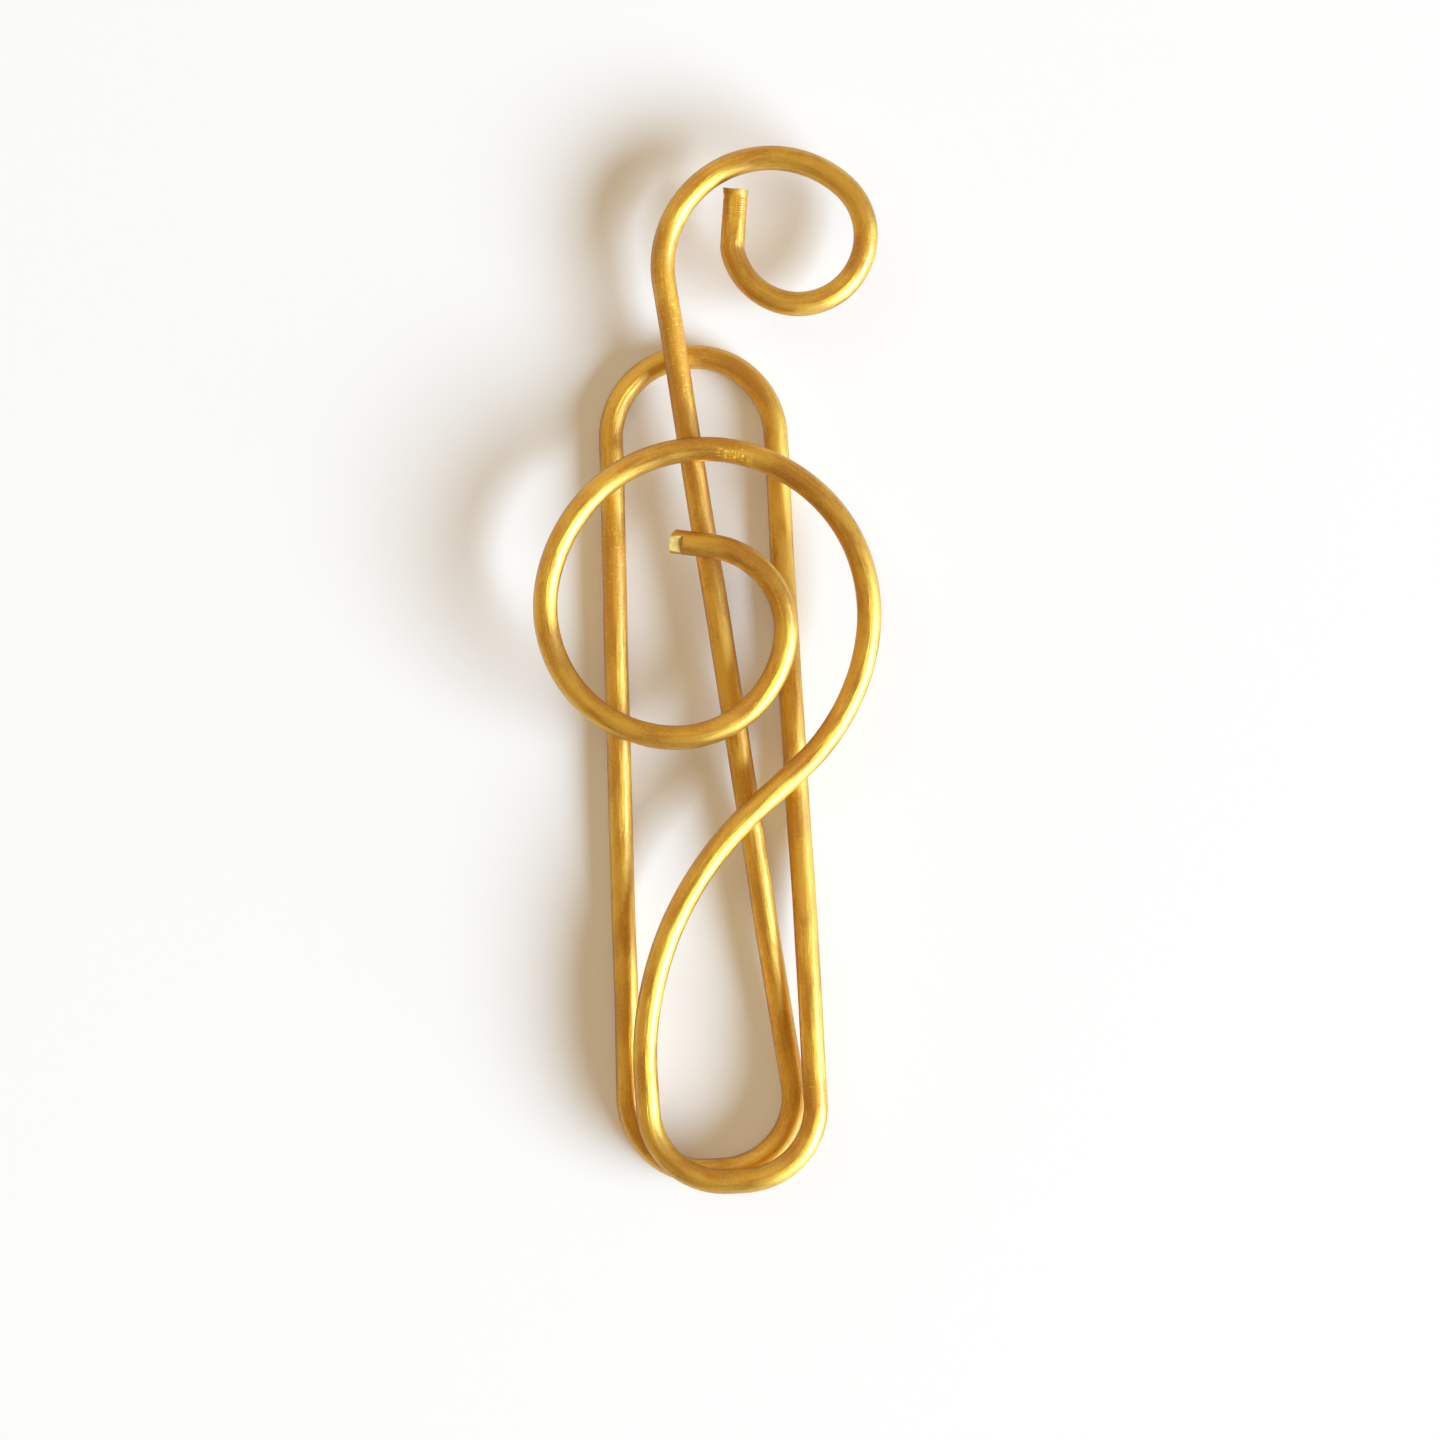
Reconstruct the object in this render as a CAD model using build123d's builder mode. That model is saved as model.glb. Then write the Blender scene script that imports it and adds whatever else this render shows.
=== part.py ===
"""A paper clip bent from one round brass wire in the shape of a treble clef, lying flat on a table.

The wire runs from the cut end inside the spiral, out and down the sweep, round the front U-bend,
up the right leg, over the arch, down the left leg, round the rear U-bend, up the stem and into the
hook. Paper goes between the frame loop, which lies on the table, and the stem and clef above it.
Each U-bend has a short straight run at its lowest point, where the wire twists as the clip opens.
"""

import os
from math import atan, atan2, cos, degrees, radians, sin, tan

from build123d import *

# The wire, in millimetres
wire_diameter = 1.5
layer_gap = 0.12
twist_length = 1.0

# The frame loop, in millimetres and degrees
arch_radius = 5.15
leg_splay = 0.95
left_leg_length = 41.05
right_leg_extra_length = 0.45
climb_length = 24.0
rear_bend_radius = 4.65
front_bend_radius = 4.7

# The stem and its hook
stem_lean = 6.6
stem_extra_length = 9.4
crook_radius = 6.65
crook_turn = 143.0
ring_radius = 4.15
ring_turn = 212.5
kink_radius = 1.5
kink_turn = 17.0
hook_tip_length = 3.45
hook_cut_slant = 4.0

# The clef, from the front bend to the cut end inside the spiral
front_bend_turn = 89.2
sweep_rise_length = 2.3
lower_sweep_radius = 20.5
lower_sweep_turn = 50.3
sweep_slant_length = 4.3
upper_sweep_radius = 13.1
upper_sweep_turn = 40.0
spiral_right_radius = 10.2
spiral_top_radius = 9.85
spiral_left_radius = 8.1
spiral_bottom_radius = 6.9
spiral_inner_radius = 5.15
spiral_tip_length = 2.65
nip_angle = 45.0

# The right leg and the stem are longer than the left leg by set amounts
right_leg_length = left_leg_length + right_leg_extra_length
stem_length = left_leg_length + stem_extra_length

# Where two stretches cross, their centre lines are one layer apart
wire_radius = wire_diameter / 2
layer_pitch = wire_diameter + layer_gap
quarter_turn = 90.0
half_turn = 180.0
splay = radians(leg_splay)
up = Vector(0, 0, 1)


def across(run):
    """The plane square to the wire where a run starts, on which its round section is drawn."""
    return Plane(run @ 0, z_dir=run % 0)


# The frame loop lies on the table. It is laid out with the middle of its arch over 0, 0.
table_layer = Plane.XY.offset(wire_radius)
arch_right_end = (arch_radius * cos(splay), arch_radius * sin(splay))

with BuildPart() as top_arch:
    with BuildLine(table_layer) as arch_run:
        JernArc(arch_right_end, (-sin(splay), cos(splay)), arch_radius, half_turn - 2 * leg_splay)
    with BuildSketch(across(arch_run.line)):
        Circle(wire_radius)
    sweep()

with BuildPart() as left_leg:
    with BuildLine(table_layer) as left_leg_run:
        PolarLine(arch_run.line @ 1, left_leg_length, direction=arch_run.line % 1)
    with BuildSketch(across(left_leg_run.line)):
        Circle(wire_radius)
    sweep()

with BuildPart() as rear_bend_left:
    with BuildLine(table_layer) as rear_left_run:
        JernArc(left_leg_run.line @ 1, left_leg_run.line % 1, rear_bend_radius, quarter_turn + leg_splay)
    with BuildSketch(across(rear_left_run.line)):
        Circle(wire_radius)
    sweep()

# The stem's plane tips up about the twist of the rear bend, so that the stem clears the arch
rear_twist_start = rear_left_run.line @ 1
tilt = atan2(layer_pitch, arch_radius - rear_twist_start.Y)
tilted_normal = (0, -sin(tilt), cos(tilt))
stem_layer = Plane(rear_twist_start, x_dir=(1, 0, 0), z_dir=tilted_normal)

with BuildPart() as rear_twist:
    with BuildLine(stem_layer) as rear_twist_run:
        Line((0, 0), (twist_length, 0))
    with BuildSketch(across(rear_twist_run.line)):
        Circle(wire_radius)
    sweep()

with BuildPart() as rear_bend_right:
    with BuildLine(stem_layer) as rear_right_run:
        JernArc(rear_twist_run.line @ 1, rear_twist_run.line % 1, rear_bend_radius, quarter_turn + stem_lean)
    with BuildSketch(across(rear_right_run.line)):
        Circle(wire_radius)
    sweep()

with BuildPart() as stem:
    with BuildLine(stem_layer) as stem_run:
        PolarLine(rear_right_run.line @ 1, stem_length, direction=rear_right_run.line % 1)
    with BuildSketch(across(stem_run.line)):
        Circle(wire_radius)
    sweep()

# The hook: a wide crook that closes into a tight ring, then a kink and a short straight tip
with BuildPart() as hook_crook:
    with BuildLine(stem_layer) as crook_run:
        JernArc(stem_run.line @ 1, stem_run.line % 1, crook_radius, -crook_turn)
    with BuildSketch(across(crook_run.line)):
        Circle(wire_radius)
    sweep()

with BuildPart() as hook_ring:
    with BuildLine(stem_layer) as ring_run:
        first_half = JernArc(crook_run.line @ 1, crook_run.line % 1, ring_radius, -ring_turn / 2)
        JernArc(first_half @ 1, first_half % 1, ring_radius, -ring_turn / 2)
    with BuildSketch(across(ring_run.line)):
        Circle(wire_radius)
    sweep()

# The hook's end is sheared off a little out of square
with BuildPart() as hook_tip:
    with BuildLine(stem_layer) as hook_tip_run:
        kink = JernArc(ring_run.line @ 1, ring_run.line % 1, kink_radius, -kink_turn)
        PolarLine(kink @ 1, hook_tip_length, direction=kink % 1)
    with BuildSketch(across(hook_tip_run.line)):
        Circle(wire_radius)
    sweep()
    hook_end = Plane(hook_tip_run.line @ 1, x_dir=stem_layer.z_dir, z_dir=hook_tip_run.line % 1)
    split(bisect_by=hook_end.rotated((hook_cut_slant, 0, 0)), keep=Keep.BOTTOM)

# The right leg climbs one layer in its lower part, on two equal arcs in an upright plane. The
# front bend then lies one layer over the rear bend, or over the stem's plane where that is higher.
right_leg_foot_y = arch_right_end[1] - right_leg_length * cos(splay)
front_twist_y = right_leg_foot_y - front_bend_radius * (1 + sin(splay))
stem_plane_rise = max(0.0, front_twist_y - rear_twist_start.Y) * tan(tilt)
climb_height = layer_pitch + stem_plane_rise
climb_turn = degrees(2 * atan(climb_height / climb_length))
climb_radius = climb_length / (2 * sin(radians(climb_turn)))
down_the_leg = -(arch_run.line % 0)
leg_upright = Plane(arch_run.line @ 0, x_dir=down_the_leg, z_dir=down_the_leg.cross(up))

with BuildPart() as right_leg:
    with BuildLine(leg_upright) as right_leg_run:
        flat_stretch = Line((0, 0), (right_leg_length - climb_length, 0))
        lower_arc = JernArc(flat_stretch @ 1, flat_stretch % 1, climb_radius, climb_turn)
        JernArc(lower_arc @ 1, lower_arc % 1, climb_radius, -climb_turn)
    with BuildSketch(across(right_leg_run.line)):
        Circle(wire_radius)
    sweep()

with BuildPart() as front_bend_right:
    with BuildLine(Plane.XY.offset(wire_radius + climb_height)) as front_right_run:
        JernArc(right_leg_run.line @ 1, down_the_leg, front_bend_radius, -(quarter_turn + leg_splay))
    with BuildSketch(across(front_right_run.line)):
        Circle(wire_radius)
    sweep()

# The clef's plane is parallel to the stem's and tips up about the twist of the front bend
clef_layer = Plane(front_right_run.line @ 1, x_dir=(1, 0, 0), z_dir=tilted_normal)

with BuildPart() as front_twist:
    with BuildLine(clef_layer) as front_twist_run:
        Line((0, 0), (-twist_length, 0))
    with BuildSketch(across(front_twist_run.line)):
        Circle(wire_radius)
    sweep()

with BuildPart() as front_bend_left:
    with BuildLine(clef_layer) as front_left_run:
        JernArc(front_twist_run.line @ 1, front_twist_run.line % 1, front_bend_radius, -front_bend_turn)
    with BuildSketch(across(front_left_run.line)):
        Circle(wire_radius)
    sweep()

with BuildPart() as clef_sweep:
    with BuildLine(clef_layer) as sweep_run:
        rise = PolarLine(front_left_run.line @ 1, sweep_rise_length, direction=front_left_run.line % 1)
        lower_sweep = JernArc(rise @ 1, rise % 1, lower_sweep_radius, -lower_sweep_turn)
        slant = PolarLine(lower_sweep @ 1, sweep_slant_length, direction=lower_sweep % 1)
        JernArc(slant @ 1, slant % 1, upper_sweep_radius, upper_sweep_turn)
    with BuildSketch(across(sweep_run.line)):
        Circle(wire_radius)
    sweep()

# The spiral: the crown goes over the top, and the curl winds in below it on ever smaller radii
with BuildPart() as spiral_crown:
    with BuildLine(clef_layer) as crown_run:
        right_side = JernArc(sweep_run.line @ 1, sweep_run.line % 1, spiral_right_radius, quarter_turn)
        JernArc(right_side @ 1, right_side % 1, spiral_top_radius, quarter_turn)
    with BuildSketch(across(crown_run.line)):
        Circle(wire_radius)
    sweep()

with BuildPart() as spiral_curl:
    with BuildLine(clef_layer) as curl_run:
        left_side = JernArc(crown_run.line @ 1, crown_run.line % 1, spiral_left_radius, quarter_turn)
        bottom_side = JernArc(left_side @ 1, left_side % 1, spiral_bottom_radius, quarter_turn)
        JernArc(bottom_side @ 1, bottom_side % 1, spiral_inner_radius, quarter_turn)
    with BuildSketch(across(curl_run.line)):
        Circle(wire_radius)
    sweep()

# The spiral's end is nipped from above and below to a blunt wedge
with BuildPart() as spiral_tip:
    with BuildLine(clef_layer) as spiral_tip_run:
        PolarLine(curl_run.line @ 1, spiral_tip_length, direction=curl_run.line % 1)
    with BuildSketch(across(spiral_tip_run.line)):
        Circle(wire_radius)
    sweep()
    spiral_end = Plane(spiral_tip_run.line @ 1, x_dir=clef_layer.z_dir, z_dir=spiral_tip_run.line % 1)
    split(bisect_by=spiral_end.rotated((0, nip_angle, 0)), keep=Keep.BOTTOM)
    split(bisect_by=spiral_end.rotated((0, -nip_angle, 0)), keep=Keep.BOTTOM)

pieces = {
    "top_arch": top_arch,
    "left_leg": left_leg,
    "right_leg": right_leg,
    "rear_bend_left": rear_bend_left,
    "front_bend_right": front_bend_right,
    "rear_twist": rear_twist,
    "rear_bend_right": rear_bend_right,
    "stem": stem,
    "hook_crook": hook_crook,
    "hook_ring": hook_ring,
    "hook_tip": hook_tip,
    "front_twist": front_twist,
    "front_bend_left": front_bend_left,
    "clef_sweep": clef_sweep,
    "spiral_crown": spiral_crown,
    "spiral_curl": spiral_curl,
    "spiral_tip": spiral_tip,
}

# The finished clip stands on z = 0 with its outline centred on the origin
middle = Compound([piece.part for piece in pieces.values()]).bounding_box().center()
home = Location((-middle.X, -middle.Y, 0))

os.makedirs("parts", exist_ok=True)
for name, piece in pieces.items():
    piece.part.locate(home)
    piece.part.label = name
    export_step(piece.part, f"parts/{name}.step")
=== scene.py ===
# %% [markdown]
# # A treble clef paper clip in satin brass wire
#
# The clip is one length of round brass wire, bent by hand until it reads as a treble clef. The
# CAD model settles where the bends lie and where the clip hinges. This lesson gives the wire what
# a plain solid lacks: its cut ends, the marks of the pliers, the drawn satin finish and the light.

import bpy
import numpy as np
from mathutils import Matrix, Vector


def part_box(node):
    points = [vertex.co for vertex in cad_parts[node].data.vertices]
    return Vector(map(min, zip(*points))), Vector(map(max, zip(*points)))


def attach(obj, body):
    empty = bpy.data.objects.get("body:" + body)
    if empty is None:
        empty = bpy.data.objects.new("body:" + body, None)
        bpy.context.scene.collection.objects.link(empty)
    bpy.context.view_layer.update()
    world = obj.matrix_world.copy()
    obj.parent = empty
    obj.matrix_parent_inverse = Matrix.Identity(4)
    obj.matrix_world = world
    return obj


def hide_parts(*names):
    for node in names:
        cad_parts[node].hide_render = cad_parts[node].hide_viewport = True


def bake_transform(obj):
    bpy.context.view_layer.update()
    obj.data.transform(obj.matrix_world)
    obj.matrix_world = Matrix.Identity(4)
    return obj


MM = 0.001

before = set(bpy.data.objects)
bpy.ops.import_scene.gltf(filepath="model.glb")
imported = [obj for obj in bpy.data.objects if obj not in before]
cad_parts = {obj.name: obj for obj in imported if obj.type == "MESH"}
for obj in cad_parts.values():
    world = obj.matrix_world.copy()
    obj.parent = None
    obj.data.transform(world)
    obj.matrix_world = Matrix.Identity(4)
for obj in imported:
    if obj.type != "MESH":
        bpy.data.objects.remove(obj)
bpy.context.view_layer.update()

# %% [markdown]
# ## The camera
#
# The photograph looks straight down on the clip from about a hand's length. A Blender camera
# with no rotation already looks down with +Y at the top of the picture, so all it needs is a
# place, its field of view, and a roll, because the clip lies a little askew in the picture.

# %% Camera straight above the clip
CAMERA_PLACE = (0.000089, -0.002999, 0.180)
CAMERA_ROLL = np.radians(-2.5)
FIELD_OF_VIEW = np.radians(28.18)
NEAREST_SEEN = 0.01

camera_data = bpy.data.cameras.new("overhead")
camera_data.angle = FIELD_OF_VIEW
camera_data.clip_start = NEAREST_SEEN
camera = bpy.data.objects.new("overhead", camera_data)
camera.location = CAMERA_PLACE
camera.rotation_euler = (0, 0, CAMERA_ROLL)
bpy.context.scene.collection.objects.link(camera)
bpy.context.scene.camera = camera
picture_width = 2 * CAMERA_PLACE[2] * np.tan(FIELD_OF_VIEW / 2)
print("the picture is", round(picture_width / MM, 1), "mm wide at the table")

# %% [markdown]
# ## The path of the wire
#
# Bent wire is made of straight runs and round bends. Blender has curve objects for that, but a
# formula is exact and needs no handles. One formula covers both kinds of run, because a straight
# run is a bend that turns by nothing. All lengths here are in millimetres, as a maker writes them,
# and MM takes them to Blender's metres at the end.

# %% One run of wire
STATION_SPACING = 0.2
UP = np.array([0.0, 0.0, 1.0])


def run(start, heading, normal, length, turn):
    """Stations along a run that turns evenly by turn radians, to the left as seen against normal.

    After a share of the run the wire has turned by that share of the turn. The chord to the
    station points half of that angle to the left of the start's heading, and it is as long as the
    wire so far, times the sine of the half angle over the half angle.
    """
    count = int(np.ceil(length / STATION_SPACING)) + 1
    share = np.linspace(0, 1, count)[:, None]
    half = turn * share / 2
    left = np.cross(normal, heading)
    chord = length * share * np.sinc(half / np.pi)
    points = start + chord * (np.cos(half) * heading + np.sin(half) * left)
    headings = np.cos(2 * half) * heading + np.sin(2 * half) * left
    return points, headings


def straight(length):
    """A run's length and turn, with no turn."""
    return length, 0.0


def bend(radius, degrees):
    """A run's length and turn: an arc is its radius times its angle long."""
    return radius * abs(np.radians(degrees)), np.radians(degrees)


def follow(start, heading, normal, *runs):
    """Joins runs in one plane end to end, each going on where and as the last one ended."""
    points, headings = np.array([start]), np.array([heading])
    for length, turn in runs:
        more_points, more_headings = run(points[-1], headings[-1], normal, length, turn)
        points = np.concatenate([points, more_points[1:]])
        headings = np.concatenate([headings, more_headings[1:]])
    return points, headings


print("stations lie at most", STATION_SPACING, "mm apart")

# %% [markdown]
# The sizes are the ones that the CAD model is built from. The frame loop lies on the table. The
# stem and the clef lie in two parallel planes that tip up a little, so that each crossing leaves
# a hair's breadth between the wires. The layout starts at the arch, and the arch of the packed
# model tells where that is.

# %% From the arch to the hook
WIRE_RADIUS = 0.75
LAYER_PITCH = 1.62
ARCH_RADIUS, SPLAY = 5.15, 0.95
LEFT_LEG, REAR_RADIUS = 41.05, 4.65
TWIST = 1.0
STEM, STEM_LEAN = 50.45, 6.6
CROOK_RADIUS, CROOK_TURN = 6.65, 143.0
RING_RADIUS, RING_TURN = 4.15, 212.5
KINK_RADIUS, KINK_TURN, HOOK_END = 1.5, 17.0, 3.45

arch_low, arch_high = (np.array(corner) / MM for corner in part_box("top_arch"))
arch_middle = (arch_low[0] + arch_high[0]) / 2
arch_centre = np.array([arch_middle, arch_high[1] - ARCH_RADIUS - WIRE_RADIUS, WIRE_RADIUS])
splay = np.radians(SPLAY)
arch_start = arch_centre + ARCH_RADIUS * np.array([np.cos(splay), np.sin(splay), 0])
arch_heading = np.array([-np.sin(splay), np.cos(splay), 0])
path = {}


def lay(name, after, normal, *runs):
    """Lays a stretch of wire on from the end of another and keeps it under its name."""
    points, headings = path[after]
    path[name] = follow(points[-1], headings[-1], normal, *runs)


path["top_arch"] = follow(arch_start, arch_heading, UP, bend(ARCH_RADIUS, 180 - 2 * SPLAY))
lay("left_leg", "top_arch", UP, straight(LEFT_LEG))
lay("rear_bend_left", "left_leg", UP, bend(REAR_RADIUS, 90 + SPLAY))
rear_hinge = path["rear_bend_left"][0][-1]
tilt = np.arctan2(LAYER_PITCH, arch_centre[1] + ARCH_RADIUS - rear_hinge[1])
tilted = np.array([0, -np.sin(tilt), np.cos(tilt)])
lay("rear_twist", "rear_bend_left", tilted, straight(TWIST))
lay("rear_bend_right", "rear_twist", tilted, bend(REAR_RADIUS, 90 + STEM_LEAN))
lay("stem", "rear_bend_right", tilted, straight(STEM))
lay("hook_crook", "stem", tilted, bend(CROOK_RADIUS, -CROOK_TURN))
lay("hook_ring", "hook_crook", tilted, bend(RING_RADIUS, -RING_TURN))
lay("hook_tip", "hook_ring", tilted, bend(KINK_RADIUS, -KINK_TURN), straight(HOOK_END))
print("the stem's plane tips up by", round(np.degrees(tilt), 2), "degrees")

# %% From the arch to the inside of the spiral
RIGHT_LEG, CLIMB = 41.5, 24.0
FRONT_RADIUS, FRONT_TURN = 4.7, 89.2
SWEEP_START, SWEEP_RADIUS, SWEEP_TURN = 2.3, 20.5, 50.3
SWEEP_MIDDLE, RETURN_RADIUS, RETURN_TURN = 4.3, 13.1, 40.0
CROWN_RADII = (10.2, 9.85)
CURL_RADII = (8.1, 6.9, 5.15)
SPIRAL_END = 2.65

down_the_leg = -arch_heading
climb_turn = 2 * np.degrees(np.arctan(LAYER_PITCH / CLIMB))
climb_radius = CLIMB / (2 * np.sin(np.radians(climb_turn)))

path["right_leg"] = follow(
    arch_start,
    down_the_leg,
    np.cross(down_the_leg, UP),
    straight(RIGHT_LEG - CLIMB),
    bend(climb_radius, climb_turn),
    bend(climb_radius, -climb_turn),
)
lay("front_bend_right", "right_leg", UP, bend(FRONT_RADIUS, -90 - SPLAY))
lay("front_twist_right", "front_bend_right", tilted, straight(TWIST / 2))
lay("front_twist_left", "front_twist_right", tilted, straight(TWIST / 2))
lay("front_bend_left", "front_twist_left", tilted, bend(FRONT_RADIUS, -FRONT_TURN))
lay(
    "clef_sweep",
    "front_bend_left",
    tilted,
    straight(SWEEP_START),
    bend(SWEEP_RADIUS, -SWEEP_TURN),
    straight(SWEEP_MIDDLE),
    bend(RETURN_RADIUS, RETURN_TURN),
)
lay("spiral_crown", "clef_sweep", tilted, *(bend(radius, 90) for radius in CROWN_RADII))
lay("spiral_curl", "spiral_crown", tilted, *(bend(radius, 90) for radius in CURL_RADII))
lay("spiral_tip", "spiral_curl", tilted, straight(SPIRAL_END))
print("the spiral's end lies", round(path["spiral_tip"][0][-1][2], 2), "mm above the table")

# %% [markdown]
# One wire has one direction. The stretches on the spiral's side were laid out from the arch, so
# they are turned round, and every station then learns how far it is from the cut end inside the
# spiral. The finish follows that distance, and so it runs on through every joint.

# %% One wire from end to end
WIRE_ORDER = [
    "spiral_tip", "spiral_curl", "spiral_crown", "clef_sweep",
    "front_bend_left", "front_twist_left", "front_twist_right", "front_bend_right",
    "right_leg", "top_arch", "left_leg",
    "rear_bend_left", "rear_twist", "rear_bend_right",
    "stem", "hook_crook", "hook_ring", "hook_tip",
]
for name in WIRE_ORDER[: WIRE_ORDER.index("top_arch")]:
    points, headings = path[name]
    path[name] = points[::-1], -headings[::-1]

begins = {}
wire_length = 0.0
for name in WIRE_ORDER:
    begins[name] = wire_length
    wire_length += np.linalg.norm(np.diff(path[name][0], axis=0), axis=1).sum()
print("the wire is", round(wire_length, 1), "mm long")

# %% [markdown]
# ## The shape of the wire
#
# A drawn wire is round, and a hand-bent one is never quite straight, so the centre line wanders
# sideways by a few hundredths of a millimetre. That is far too little to see as a shape, but the
# highlights waver with it. The two ends were cut with pliers, each in its own way. All of this is
# written as changes to the round profile: how far a point lies across the wire, how high, and how
# far ahead.

# %% Hand-bent wander of the centre line
WANDER = 0.022
WANDER_WAVES = [(1.31, 0.4, 0.35), (2.37, 1.9, 0.6), (5.03, 4.2, 1.0)]


def wander(along):
    """A sideways shift in mm: three sine waves whose lengths have no common measure, added up.

    Each wave has its length, its start and its share of the whole.
    """
    waves = [share * np.sin(along / length + start) for length, start, share in WANDER_WAVES]
    return WANDER * np.sum(waves, axis=0)


most = WANDER * sum(share for length, start, share in WANDER_WAVES)
print("the wire wanders by at most", round(most, 3), "mm")

# %% The bitten end inside the spiral
BITE_LENGTH, BITE_EDGE, BITE_END = 0.8, 0.50, 0.60
BITE_LEAN = np.radians(18)
UNDERCUT_LAND = 0.05
CORNER_ROUNDING, UPPER_ROUNDING = 0.18, 0.4
CUT_SHOWS = 0.01


def ramp(value, start, end):
    """0 at start, 1 at end, an even change in between, and held beyond them."""
    return np.clip((value - start) / (end - start), 0, 1)


def bite(along, across, height, ahead):
    """Seen along a direction that leans to the lower side, the top stays under a plane that rises
    a little from the bite's edge to the end. Underneath, a point hangs below the middle by no more
    than its distance from the end and a narrow land. The end's corners are rounded: they lie
    further in by the square of their place across. What the plane takes away is marked as cut."""
    sideways = across * np.cos(BITE_LEAN) + height * np.sin(BITE_LEAN)
    leaning = height * np.cos(BITE_LEAN) - across * np.sin(BITE_LEAN)
    limit = BITE_END + (BITE_EDGE - BITE_END) * along / BITE_LENGTH
    pressed = np.minimum(leaning, np.where(along < BITE_LENGTH, limit, WIRE_RADIUS)[:, None])
    cut = ramp(leaning - pressed, 0, CUT_SHOWS)
    height = sideways * np.sin(BITE_LEAN) + pressed * np.cos(BITE_LEAN)
    height = np.maximum(height, -(UNDERCUT_LAND + along)[:, None])
    across = sideways * np.cos(BITE_LEAN) - pressed * np.sin(BITE_LEAN)
    near = ramp(along, BITE_LENGTH, 0)[:, None]
    rounding = CORNER_ROUNDING * across**2 + UPPER_ROUNDING * np.maximum(across, 0) ** 2
    return across, height, ahead + near * rounding, cut


print("the bite takes", round(WIRE_RADIUS - BITE_EDGE, 2), "mm off the top of the wire")

# %% The sheared end of the hook
LIP_LENGTH, LIP_EVEN, LIP_LEFT = 0.3, 0.045, 0.05
GROOVE, GROOVE_PLACE, GROOVE_LENGTH = 0.03, 0.52, 0.13
JAW_BACK, JAW_FRONT = (3.2, 2.4), (0.25, 0.55)
FLAT_HEIGHT, FLAT_PRESSED = 0.66, 0.8
TEETH_PITCH, TEETH_DEPTH = 0.15, 0.03
TEETH_PLACE, TEETH_REACH = 1.15, 0.625
TEETH_SIDE, TEETH_TOP = (0.1, -0.2), (0.0, 0.2)
CUT_SLANT, SLANT_REACH = np.tan(np.radians(4.0)), 0.6
CUT_LEAN, LEAN_REACH = 0.2, 0.4
END_FACE = 0.001


def bell(distance, width):
    """One at no distance, falling off smoothly to nothing beyond about twice the width."""
    return np.exp(-((distance / width) ** 2))


def shear(along, across, height, ahead):
    """The cut spreads the rim to a lip, more on the left, with a shallow groove behind it. The jaws
    that held the end flattened its top and left teeth marks on its right side, which are a cosine
    wave. The cut slants and leans: a point lies ahead by its place across times the slant, and on
    the left it lies back by its height times the lean, both fading out behind the end. The face at
    the very end is marked for painted shade, which later paints it dark."""
    to_end = (wire_length - along)[:, None]
    share = across / WIRE_RADIUS
    lip = (LIP_EVEN + LIP_LEFT * share) * bell(to_end, LIP_LENGTH)
    spread = 1 + lip - GROOVE * bell(to_end - GROOVE_PLACE, GROOVE_LENGTH)
    held = ramp(to_end, *JAW_BACK) * ramp(to_end, *JAW_FRONT)
    over = np.maximum(height - FLAT_HEIGHT, 0)
    teeth = 0.5 + 0.5 * np.cos(2 * np.pi * to_end / TEETH_PITCH)
    bitten = ramp(np.abs(to_end - TEETH_PLACE), TEETH_REACH, TEETH_REACH / 3)
    bitten = bitten * ramp(share, *TEETH_SIDE) * ramp(height, *TEETH_TOP)
    across, height = across * spread, (height - FLAT_PRESSED * held * over) * spread
    height = height - TEETH_DEPTH * teeth * bitten
    ahead = ahead + across * CUT_SLANT * ramp(to_end, SLANT_REACH, 0)
    ahead = ahead - CUT_LEAN * height * (0.5 + 0.5 * share) * ramp(to_end, LEAN_REACH, 0)
    painted_shade_end = np.where(to_end < END_FACE, -1.0, 0.0) + np.zeros_like(across)
    return across, height, ahead, painted_shade_end


most = WIRE_RADIUS * (LIP_EVEN + LIP_LEFT)
print("the hook's lip stands out by", round(most, 3), "mm at most")

# %% [markdown]
# ## From a path to a mesh
#
# Each station carries one ring of points, and neighbouring rings are joined by four-sided faces.
# At both ends a few shrinking rings and one last point close the tube, so every piece is a
# watertight solid. The mesh remembers three things for the finish: where each point would lie if
# the wire were straight again, where the pliers gripped, and where the metal was cut.

# %% Where the pliers gripped the wire
# Each grip: its stretch, its place along that in mm, its reach in mm and its strength
GRIPS = [
    ("left_leg", 8.6, 3.4, 0.9),
    ("right_leg", 0.4, 1.2, 0.8),
    ("hook_ring", 4.6, 1.5, 0.9),
    ("stem", 46.5, 3.5, 0.7),
    ("hook_crook", 1.5, 2.5, 0.7),
    ("hook_tip", 3.0, 1.2, 1.0),
    ("front_bend_right", 3.5, 2.0, 0.4),
    ("spiral_crown", 16.0, 2.0, 0.4),
]


def grip_marks(along):
    """How strongly the wire is scuffed at a station: the largest of the grips' bell curves."""
    marks = [
        strength * bell(along - begins[name] - place, reach)
        for name, place, reach, strength in GRIPS
    ]
    return np.max(marks, axis=0)


print("the pliers left marks at", len(GRIPS), "places")

# %% The stations of one piece
FINE_REACH, FINE_PARTS = 3.6, 8


def join(names):
    """The stations of neighbouring stretches as one run, and each one's distance along the wire."""
    points = np.concatenate([path[name][0][min(i, 1) :] for i, name in enumerate(names)])
    headings = np.concatenate([path[name][1][min(i, 1) :] for i, name in enumerate(names)])
    steps = np.linalg.norm(np.diff(points, axis=0), axis=1)
    return points, headings, begins[names[0]] + np.concatenate([[0], np.cumsum(steps)])


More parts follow.
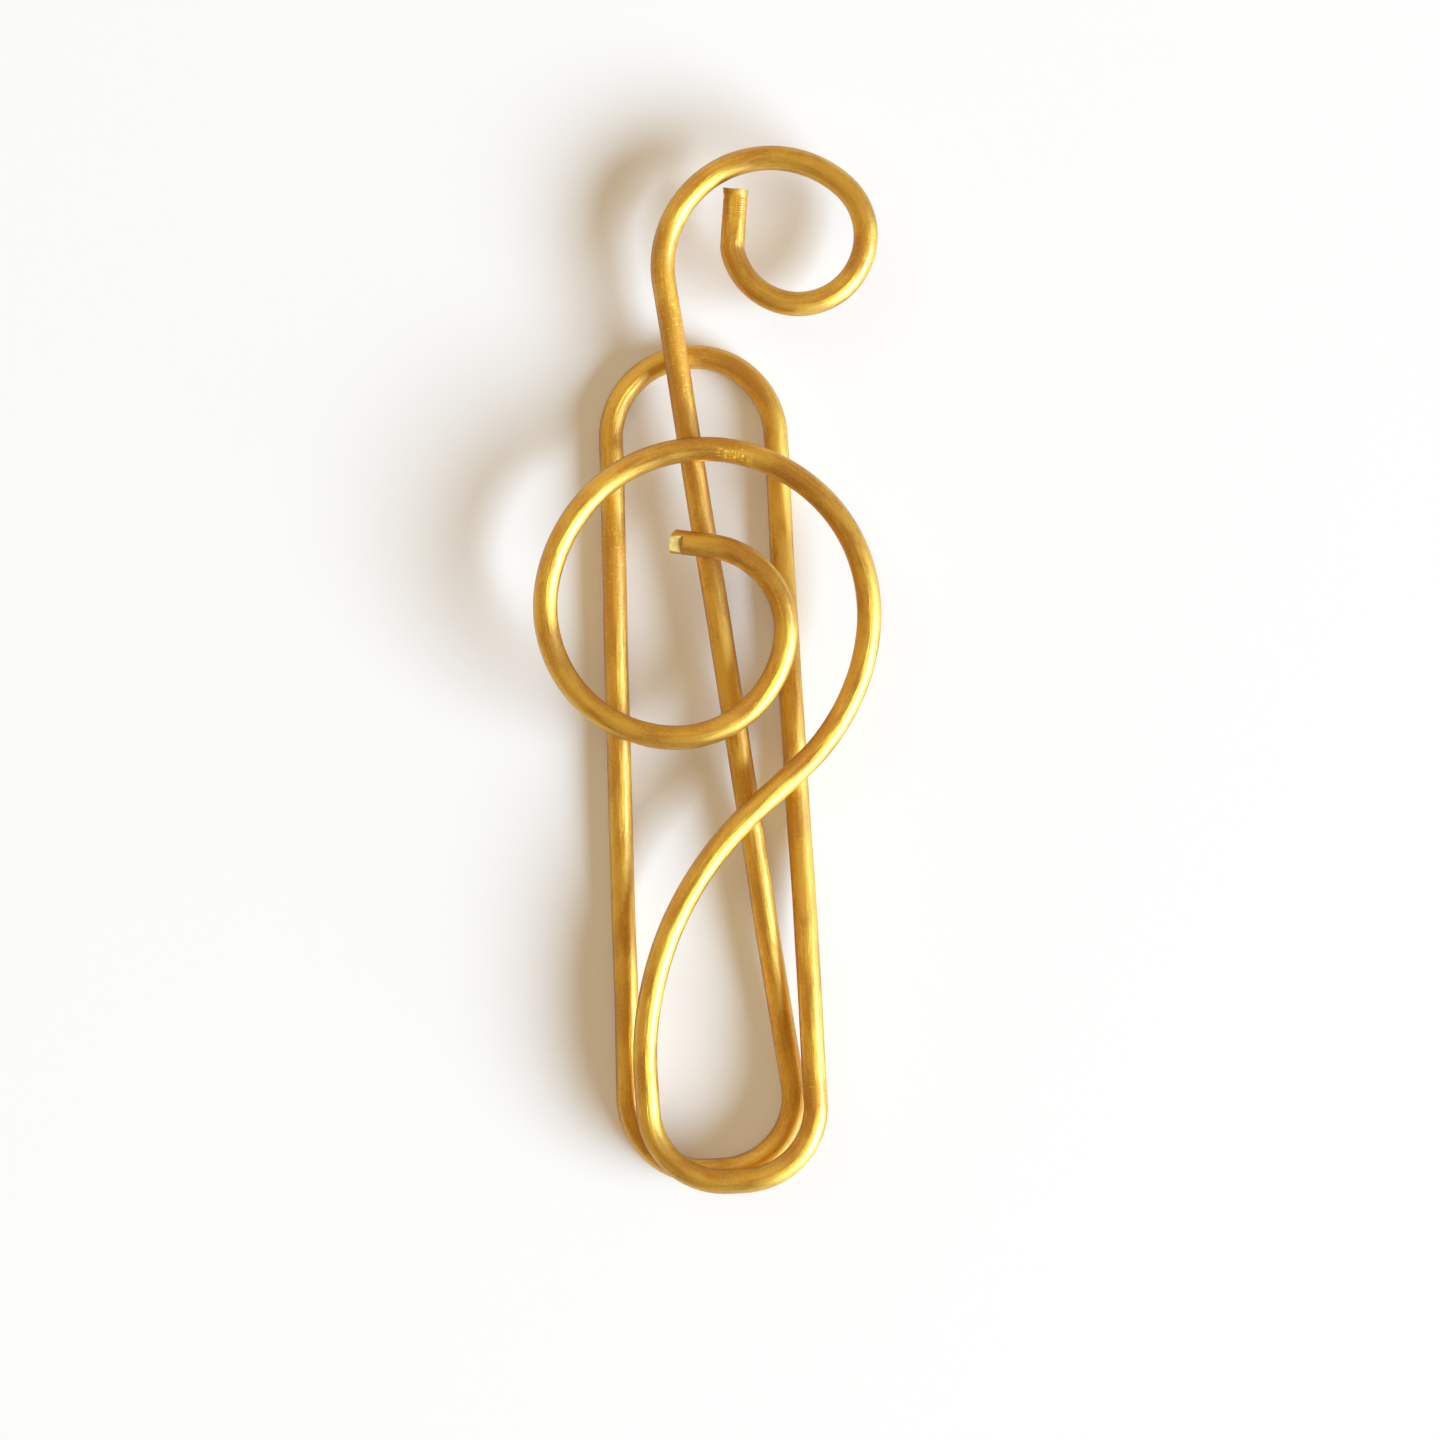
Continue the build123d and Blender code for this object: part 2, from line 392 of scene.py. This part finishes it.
def refine(points, headings, along, near):
    """Divides the gaps between stations close to one end into even parts, for its fine detail."""
    counts = np.where(np.abs(along[:-1] - near) < FINE_REACH, FINE_PARTS, 1)
    firsts = np.repeat(np.cumsum(counts) - counts, counts)
    inner = (np.arange(counts.sum()) - firsts) / np.repeat(counts, counts)
    gaps = np.repeat(np.arange(len(counts)), counts)
    stations = np.append(gaps + inner, len(counts))
    columns = np.column_stack([points, headings, along]).T
    fine = [np.interp(stations, np.arange(len(along)), column) for column in columns]
    return np.column_stack(fine[:3]), np.column_stack(fine[3:6]), fine[6]


print("near a cut end the stations lie", STATION_SPACING / FINE_PARTS, "mm apart")

# %% A tube from some stretches of the wire
SEGMENTS = 72
CAP_SHARES = (0.94, 0.8, 0.55, 0.25)
SHARP_ANGLE = np.radians(32)


def tube(name, stretches, detail=None, fine_end=None):
    """A round wire along some stretches: each ring point is the station, plus its place across
    times the side direction, plus its height times the top direction, plus what it lies ahead."""
    points, headings, along = join(stretches)
    if fine_end is not None:
        points, headings, along = refine(points, headings, along, fine_end)
    headings = headings / np.linalg.norm(headings, axis=1, keepdims=True)
    side = np.cross(UP, headings)
    side = side / np.linalg.norm(side, axis=1, keepdims=True)
    top = np.cross(headings, side)
    points = points + wander(along)[:, None] * side
    angle = np.linspace(-np.pi, np.pi, SEGMENTS, endpoint=False)
    across = WIRE_RADIUS * np.sin(angle) + np.zeros((len(along), 1))
    height = WIRE_RADIUS * np.cos(angle) + np.zeros((len(along), 1))
    ahead, cut = np.zeros_like(across), np.zeros_like(across)
    if detail:
        across, height, ahead, cut = detail(along, across, height, ahead)
    caps = len(CAP_SHARES)
    shrink = np.concatenate([CAP_SHARES[::-1], np.ones(len(along)), CAP_SHARES])[:, None]
    rows = np.concatenate([[0] * caps, np.arange(len(along)), [-1] * caps])
    across, height, ahead = (shrink * values[rows] for values in (across, height, ahead))
    rings = points[rows][:, None] + across[..., None] * side[rows][:, None]
    rings = rings + height[..., None] * top[rows][:, None]
    rings = rings + ahead[..., None] * headings[rows][:, None]
    place = np.stack([across, height, along[rows][:, None] + ahead], axis=2)
    grips = grip_marks(along[rows])[:, None] + np.zeros_like(across)
    return close_tube(name, rings, place, cut[rows], grips)


def close_tube(name, rings, place, cut, grips):
    """Puts the rings into a mesh. The first point closes the start, the last point the end."""
    poles = [rings[0].mean(0), rings[-1].mean(0)]
    pole_places = [place[0].mean(0), place[-1].mean(0)]
    vertices = np.concatenate([poles[:1], rings.reshape(-1, 3), poles[1:]])
    places = np.concatenate([pole_places[:1], place.reshape(-1, 3), pole_places[1:]])
    cuts = np.concatenate([cut[0, :1], cut.ravel(), cut[-1, :1]])
    marks = np.concatenate([grips[0, :1], grips.ravel(), grips[-1, :1]])
    grid = 1 + np.arange(rings.shape[0] * SEGMENTS).reshape(-1, SEGMENTS)
    onward = np.roll(grid, -1, axis=1)
    sides = np.stack([grid[:-1], grid[1:], onward[1:], onward[:-1]], axis=2).reshape(-1, 4)
    start = np.column_stack([np.zeros(SEGMENTS, int), grid[0], onward[0]])
    end = np.column_stack([np.full(SEGMENTS, len(vertices) - 1), onward[-1], grid[-1]])
    faces = sides.tolist() + start.tolist() + end.tolist()
    mesh = bpy.data.meshes.new(name)
    mesh.from_pydata((MM * vertices).tolist(), [], faces)
    wire_place = mesh.attributes.new("wire_place", "FLOAT_VECTOR", "POINT")
    wire_place.data.foreach_set("vector", places.ravel())
    mesh.attributes.new("cut", "FLOAT", "POINT").data.foreach_set("value", cuts)
    mesh.attributes.new("grip_marks", "FLOAT", "POINT").data.foreach_set("value", marks)
    mesh.shade_smooth()
    mesh.set_sharp_from_angle(angle=SHARP_ANGLE)
    mesh.validate()
    piece = bpy.data.objects.new(name, mesh)
    bpy.context.scene.collection.objects.link(piece)
    print(name, "has", len(mesh.polygons), "faces")
    return piece


# %% [markdown]
# ## The six visible pieces
#
# The wire is cut where it hinges. The arch with its legs, the stem with its hook, and the sweep
# with its spiral ride on their own bodies. The U-bends at the foot twist when the clip opens, and
# they have a short straight run at their lowest point. Here they are only baked in place and ride
# on no body; the point beside the front hinge where a blend would start is worked out, not used.

# %% Arch and legs, stem and hook, sweep and spiral
CLEF_STRETCHES = ["spiral_tip", "spiral_curl", "spiral_crown", "clef_sweep"]

loop_wire = tube("loop_wire", ["right_leg", "top_arch", "left_leg"])
stem_wire = tube("stem_wire", ["stem", "hook_crook", "hook_ring", "hook_tip"], shear, wire_length)
clef_wire = tube("clef_wire", CLEF_STRETCHES, bite, 0.0)
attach(loop_wire, "frame")
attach(stem_wire, "stem")
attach(clef_wire, "clef")
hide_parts("right_leg", "top_arch", "left_leg")
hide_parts("stem", "hook_crook", "hook_ring", "hook_tip")
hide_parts("clef_sweep", "spiral_crown", "spiral_curl", "spiral_tip")

# %% The U-bends at the foot
BLEND_REACH = 3.2

rear_bend = tube("rear_bend_wire", ["rear_bend_left", "rear_twist", "rear_bend_right"])
front_outer = tube("front_bend_outer_wire", ["front_twist_right", "front_bend_right"])
front_inner = tube("front_bend_inner_wire", ["front_bend_left", "front_twist_left"])
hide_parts("rear_bend_left", "rear_twist", "rear_bend_right")
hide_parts("front_bend_right")
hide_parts("front_bend_left", "front_twist")


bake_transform(rear_bend)
front_hinge = path["front_twist_right"][0][0]
blend_start = tuple(MM * (front_hinge + [BLEND_REACH, 0, 0]))
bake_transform(front_outer)
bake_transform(front_inner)
wires = [loop_wire, stem_wire, clef_wire, rear_bend, front_outer, front_inner]

# %% [markdown]
# ## Shader maths as plain expressions
#
# A material is a graph of nodes, and sums on its values are nodes too. A small class keeps such a
# value and turns Python's own operators into Math nodes, so that a finish reads as a formula.

# %% A value in a material, and a recipe that makes nodes
class Value:
    """One output of a node. Sums with it add Math nodes to the same recipe."""

    def __init__(self, recipe, socket):
        self.recipe, self.socket = recipe, socket

    def sum(self, operation, first, second):
        settings, sockets = {"operation": operation}, {0: first, 1: second}
        return self.recipe.node("ShaderNodeMath", settings, sockets)["Value"]

    def __add__(self, other):
        return self.sum("ADD", self, other)

    def __sub__(self, other):
        return self.sum("SUBTRACT", self, other)

    def __rsub__(self, other):
        return self.sum("SUBTRACT", other, self)

    def __mul__(self, other):
        return self.sum("MULTIPLY", self, other)

    __radd__, __rmul__ = __add__, __mul__


class Recipe:
    """A material, a world or any other node tree, and the one method that adds a node to it."""

    def __init__(self, owner):
        owner.use_nodes = True
        self.tree = owner.node_tree
        self.tree.nodes.clear()

    def node(self, kind, settings, sockets):
        """Adds a node, sets its settings, then gives each socket its number, colour or link."""
        made = self.tree.nodes.new(kind)
        for name, setting in settings.items():
            setattr(made, name, setting)
        inputs = {socket.identifier: socket for socket in made.inputs}
        for key, value in sockets.items():
            socket = inputs.get(key) or made.inputs[key]
            if isinstance(value, Value):
                self.tree.links.new(value.socket, socket)
            else:
                socket.default_value = value
        return {socket.identifier: Value(self, socket) for socket in made.outputs if socket.enabled}

    def attribute(self, name):
        """A value that the mesh keeps for each point, as a vector and as a number."""
        return self.node("ShaderNodeAttribute", {"attribute_name": name}, {})

    def noise(self, place, stretch, detail, roughness):
        """Cloudy noise of about 0 to 1 whose clouds are as long as one over stretch, each way."""
        settings, sockets = {"operation": "MULTIPLY"}, {0: place, 1: stretch}
        scaled = self.node("ShaderNodeVectorMath", settings, sockets)["Vector"]
        sockets = {"Vector": scaled, "Scale": 1.0, "Detail": detail, "Roughness": roughness}
        return self.node("ShaderNodeTexNoise", {}, sockets)["Fac"]

    def between(self, value, low, high):
        """0 below low, 1 above high and a smooth rise in between."""
        settings = {"interpolation_type": "SMOOTHSTEP"}
        sockets = {"Value": value, "From Min": low, "From Max": high}
        return self.node("ShaderNodeMapRange", settings, sockets)["Result"]

    def mix(self, share, first, second):
        """A colour that goes from the first to the second with the share."""
        sockets = {"Factor_Float": share, "A_Color": first, "B_Color": second}
        return self.node("ShaderNodeMix", {"data_type": "RGBA"}, sockets)["Result_Color"]


# %% [markdown]
# ## Satin brass
#
# The wire was drawn through a die, which leaves fine lines along it. They are cut into the relief,
# so that the gleam spreads round the wire and stays short along it. Handling leaves soft clouds of
# darker, redder brass. Where pliers held it, fine scratches run round the wire. The straightened
# place of each point, kept in the mesh, lets plain noise make all of these: stretched along the
# wire for the drawn lines, and across it for the scratches. The bite at the spiral's end is fresh
# pale brass, the sheared face at the hook's end is painted dark as painted shade, and a thin clear
# lacquer lies over all of it.

# %% The marks in the brass
# Each noise: its clouds per mm across, up and along the wire, then its detail and its roughness
DRAWN = (5.0, 5.0, 0.22), 4.0, 0.75
LINES = (30.0, 30.0, 0.3), 1.0, 0.5
GRAIN = (8.0, 8.0, 5.0), 3.0, 0.7
CLOUDS = (0.8, 0.8, 0.33), 2.0, 0.5
ROUNDS = (1.3, 1.3, 15.0), 2.0, 0.6
TICKS = (7.0, 7.0, 2.0), 1.0, 0.5
# Each mark rises from nothing to full between two values
GRIP_LIMITS, ROUND_LIMITS, TICK_LIMITS = (0.3, 0.85), (0.5, 0.68), (0.36, 0.56)
WORN_LIMITS, TONE_LIMITS = (0.34, 0.66), (0.42, 0.68)
CUT_LIMITS, FRESH_LIMITS = (0.2, 0.8), (0.28, 0.5)
GRIP_UNEVEN = 0.35

brass = bpy.data.materials.new("satin_brass")
recipe = Recipe(brass)
place = recipe.attribute("wire_place")["Vector"]
grips = recipe.attribute("grip_marks")["Fac"]
cut = recipe.attribute("cut")["Fac"]

drawn = recipe.noise(place, *DRAWN)
lines = recipe.noise(place, *LINES)
grain = recipe.noise(place, *GRAIN)
clouds = recipe.noise(place, *CLOUDS)
rounds = recipe.noise(place, *ROUNDS)
ticks = recipe.noise(place, *TICKS)

gripped = recipe.between(grips + GRIP_UNEVEN * clouds, *GRIP_LIMITS)
scuffs = gripped * recipe.between(rounds, *ROUND_LIMITS) * recipe.between(ticks, *TICK_LIMITS)
worn = recipe.between(clouds, *WORN_LIMITS)
# Painted shade: the hook's end face, marked with a cut below nothing, is picked out to be painted
# dark
painted_shade_end = recipe.between(0 - cut, *CUT_LIMITS)
fresh = recipe.between(cut, *CUT_LIMITS) * recipe.between(grain, *FRESH_LIMITS)
print("the marks take", len(recipe.tree.nodes), "nodes")

# %% The finish of the wire
BRASS = (0.88, 0.55, 0.06, 1)
DEEP_BRASS = (0.68, 0.34, 0.02, 1)
FRESH_BRASS = (0.92, 0.69, 0.22, 1)
# Painted shade: a very dark brass painted on the hook's end face
END_SHADE_BRASS = (0.22, 0.10, 0.02, 1)
EDGE_BRASS = (0.24, 0.12, 0.04, 1)
SATIN = 0.29
RELIEF_DEPTH = 0.025 * MM
LACQUER_ROUGHNESS, LACQUER_IOR = 0.38, 1.7

tone = 0.5 * drawn + 0.45 * grain + 0.2 * worn + 0.35 * scuffs - 0.18 * gripped
colour = recipe.mix(recipe.between(tone, *TONE_LIMITS), DEEP_BRASS, BRASS)
colour = recipe.mix(fresh, colour, FRESH_BRASS)
# Painted shade: the hook's end face is painted dark
colour = recipe.mix(painted_shade_end, colour, END_SHADE_BRASS)
rough = SATIN + 0.16 * drawn + 0.06 * worn + 0.22 * gripped
rough = rough - 0.08 * scuffs + 0.12 * fresh + 0.2 * painted_shade_end
relief = lines + 0.5 * drawn + 0.4 * grain - scuffs
sockets = {"Strength": 1.0, "Distance": RELIEF_DEPTH, "Height": relief}
normal = recipe.node("ShaderNodeBump", {}, sockets)["Normal"]

surface = recipe.node(
    "ShaderNodeBsdfPrincipled",
    {},
    {
        "Base Color": colour,
        "Metallic": 1.0,
        "Roughness": rough,
        "Normal": normal,
        "Specular Tint": EDGE_BRASS,
        "Coat Weight": 1.0,
        "Coat Roughness": LACQUER_ROUGHNESS,
        "Coat IOR": LACQUER_IOR,
    },
)["BSDF"]
recipe.node("ShaderNodeOutputMaterial", {}, {"Surface": surface})

for wire in wires:
    wire.data.materials.append(brass)
print("satin brass has", len(recipe.tree.nodes), "nodes")

# %% [markdown]
# ## The table
#
# The clip lies on plain white card. A matt white floor keeps the soft shadow, and a little light
# of its own, which only the picture and the reflections see, lifts it to paper white.

# %% White card
CARD_HALF_WIDTH = 4.0
CARD_WHITE = (0.82, 0.815, 0.80, 1)
CARD_GLOW, GLOW_WHITE = 0.08, (1, 1, 0.99, 1)

corners = CARD_HALF_WIDTH * np.array([[-1, -1, 0], [1, -1, 0], [1, 1, 0], [-1, 1, 0]])
card_mesh = bpy.data.meshes.new("white_card")
card_mesh.from_pydata(corners.tolist(), [], [(0, 1, 2, 3)])
card = bpy.data.objects.new("white_card", card_mesh)
bpy.context.scene.collection.objects.link(card)

paper = bpy.data.materials.new("white_card")
recipe = Recipe(paper)
rays = recipe.node("ShaderNodeLightPath", {}, {})
seen = rays["Is Camera Ray"] + rays["Is Glossy Ray"] + rays["Is Transmission Ray"]
matt = recipe.node("ShaderNodeBsdfDiffuse", {}, {"Color": CARD_WHITE})["BSDF"]
sockets = {"Color": GLOW_WHITE, "Strength": CARD_GLOW * seen}
glow = recipe.node("ShaderNodeEmission", {}, sockets)["Emission"]
both = recipe.node("ShaderNodeAddShader", {}, {0: matt, 1: glow})["Shader"]
recipe.node("ShaderNodeOutputMaterial", {}, {"Surface": both})
card.data.materials.append(paper)
print("the card is", 2 * CARD_HALF_WIDTH, "m wide")

# %% [markdown]
# ## The light
#
# The shadows in the photograph fall to the left and a little up, about twice as long as the wire is
# high, and they are soft. So one broad window stands low on the lower right, with the bearing, rise
# and width that the shadows give. A pale glow low beside it, as a sill in the sun gives, draws the
# gleam out towards the edge of the wire and hardly lights the table. The rest of the room that the
# wire mirrors is warm, brown at the lower left and brighter at the upper left, where a small pale
# patch gives the faint second gleam.

# %% A broad window
PANEL_BEARING, PANEL_RISE, PANEL_DISTANCE = -29.0, 25.0, 3.2
PANEL_WIDTH, PANEL_HEIGHT = 3.1, 1.36
PANEL_WATTS, DAYLIGHT = 193.1, (0.79, 1.0, 1.252)


def towards(bearing, rise):
    """The direction that points to a bearing, anticlockwise from +X, and a rise above the table."""
    bearing, rise = np.radians(bearing), np.radians(rise)
    return np.array([np.cos(rise) * np.cos(bearing), np.cos(rise) * np.sin(bearing), np.sin(rise)])


panel_data = bpy.data.lights.new("window_panel", "AREA")
panel_data.shape = "ELLIPSE"
panel_data.size, panel_data.size_y = PANEL_WIDTH, PANEL_HEIGHT
panel_data.energy = PANEL_WATTS
panel_data.color = DAYLIGHT
panel = bpy.data.objects.new("window_panel", panel_data)
panel.location = PANEL_DISTANCE * towards(PANEL_BEARING, PANEL_RISE)
panel.rotation_euler = (np.radians(90 - PANEL_RISE), 0, np.radians(PANEL_BEARING + 90))
bpy.context.scene.collection.objects.link(panel)
print("the window's middle is", round(panel.location[2], 2), "m above the table")

# %% A dim warm room
WALL_BEARING, WALL_RISE, WALL_LIMITS = 118.0, 15.0, (-0.5, 0.7)
PATCH_BEARING, PATCH_RISE, PATCH_LIMITS = 128.0, 50.0, (0.88, 1.0)
SILL_RISE, SILL_LIMITS = 3.0, (0.90, 0.985)
BROWN_WALL, BRIGHT_WALL = (0.27, 0.16, 0.055, 1), (0.58, 0.4, 0.19, 1)
PALE_PATCH, PALE_SILL = (1.2, 1.05, 0.75, 1), (4.0, 4.2, 4.2, 1)

room = bpy.data.worlds.new("warm_room")
recipe = Recipe(room)
direction = recipe.node("ShaderNodeTexCoord", {}, {})["Generated"]


def facing(bearing, rise):
    """How nearly a direction of the room points that way: the cosine of the angle between them."""
    sockets = {0: direction, 1: towards(bearing, rise)}
    return recipe.node("ShaderNodeVectorMath", {"operation": "DOT_PRODUCT"}, sockets)["Value"]


side_wall = recipe.between(facing(WALL_BEARING, WALL_RISE), *WALL_LIMITS)
patch = recipe.between(facing(PATCH_BEARING, PATCH_RISE), *PATCH_LIMITS)
sill = recipe.between(facing(PANEL_BEARING, SILL_RISE), *SILL_LIMITS)
walls = recipe.mix(side_wall, BROWN_WALL, BRIGHT_WALL)
walls = recipe.mix(patch, walls, PALE_PATCH)
walls = recipe.mix(sill, walls, PALE_SILL)
air = recipe.node("ShaderNodeBackground", {}, {"Color": walls, "Strength": 1.0})["Background"]
recipe.node("ShaderNodeOutputWorld", {}, {"Surface": air})
bpy.context.scene.world = room
bpy.context.scene.view_settings.view_transform = "Standard"
print("the room has", len(recipe.tree.nodes), "nodes")
